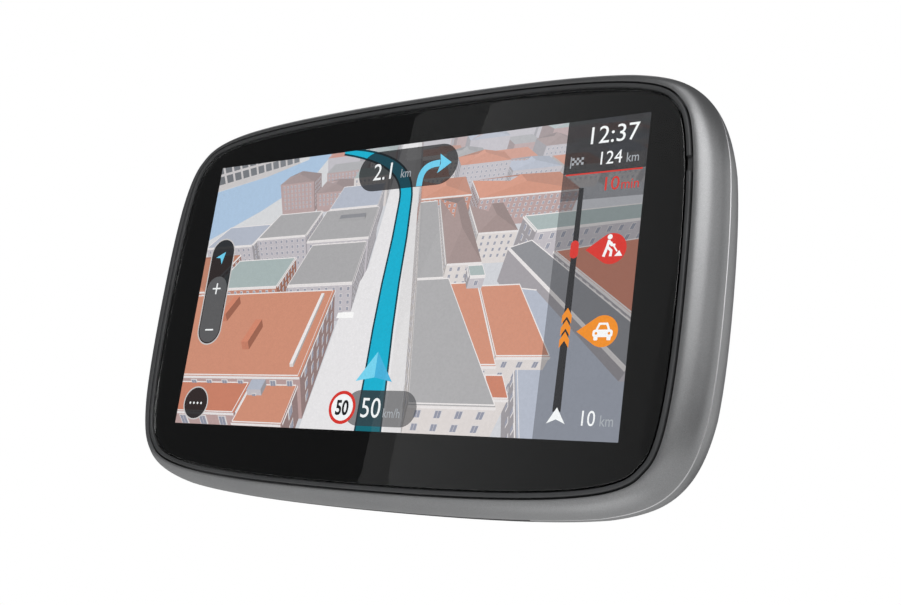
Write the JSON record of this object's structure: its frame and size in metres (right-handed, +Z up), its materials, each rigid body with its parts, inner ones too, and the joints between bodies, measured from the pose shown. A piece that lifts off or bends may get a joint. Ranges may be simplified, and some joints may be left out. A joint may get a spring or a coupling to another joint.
{
  "type": "portable gps navigator",
  "caption": "Slim handheld satellite navigator: wide touch display under black glass in a soft-cornered silver case, with a dock recess, speaker grille and power key behind.",
  "frame": {"origin": "centre of the device's bounding box", "axes": "+X is the user's right, +Y runs from the glass to the back, +Z is up"},
  "size_m": [0.1408, 0.0204, 0.0892],
  "materials": {
    "silver_paint": "silver-grey metallic paint on moulded plastic, satin gloss",
    "ring_plastic": "dark grey satin plastic",
    "cover_glass": "polished glass with a black printed border",
    "touch_film": "clear laminated film",
    "panel_glass": "LCD glass",
    "black_plastic": "fine-textured black plastic",
    "grey_plastic": "dark grey moulded plastic",
    "white_plastic": "white moulded plastic",
    "steel": "bright pressed or turned steel",
    "board": "green solder mask on glass-fibre board",
    "chip": "black moulded chip package",
    "ceramic": "unglazed ceramic",
    "flex_film": "amber flat-cable film",
    "gold": "gold-plated contact",
    "foam": "black closed-cell foam",
    "battery": "blue-grey foil pouch"
  },
  "bodies": {
    "housing": {"front_shell": "silver_paint", "bezel_ring": "ring_plastic", "cover_glass": "cover_glass", "glass_gasket": "foam", "touch_sensor": "touch_film", "lcd_panel": "panel_glass", "backlight": "white_plastic", "display_tray": "steel", "display_flex": "flex_film", "touch_flex": "flex_film", "microphone": "chip", "mid_frame": "grey_plastic", "frame_screw_1": "steel", "frame_screw_2": "steel", "frame_screw_3": "steel", "frame_screw_4": "steel", "main_board": "board", "board_screw_1": "steel", "board_screw_2": "steel", "board_screw_3": "steel", "board_screw_4": "steel", "processor": "chip", "processor_can": "steel", "gps_antenna": "ceramic", "radio_can": "steel", "display_connector": "black_plastic", "card_socket": "steel", "memory_chip": "chip", "power_chip": "chip", "battery_connector": "white_plastic", "bluetooth_antenna": "ceramic", "battery_pad": "foam", "battery_pack": "battery", "rear_cover": "silver_paint", "dock_tub": "black_plastic", "dock_magnet_1": "steel", "dock_magnet_2": "steel", "cover_screw_1": "steel", "cover_screw_2": "steel", "contact_block": "grey_plastic", "contact_pad_1": "gold", "contact_pad_2": "gold", "contact_pad_3": "gold", "contact_pad_4": "gold", "usb_socket": "steel", "usb_tongue": "black_plastic", "speaker_grille": "black_plastic", "speaker_basket": "black_plastic", "speaker_cone": "foam", "speaker_gasket": "foam", "power_switch": "steel"},
    "power_key": {"power_button": "black_plastic", "switch_plunger": "white_plastic"}
  },
  "joints": [
    {"name": "power_press", "type": "slide", "parent": "housing", "child": "power_key", "axis": [0, -1, 0], "range_m": [0, 0.0004], "stiffness_N_per_m": 1200}
  ]
}
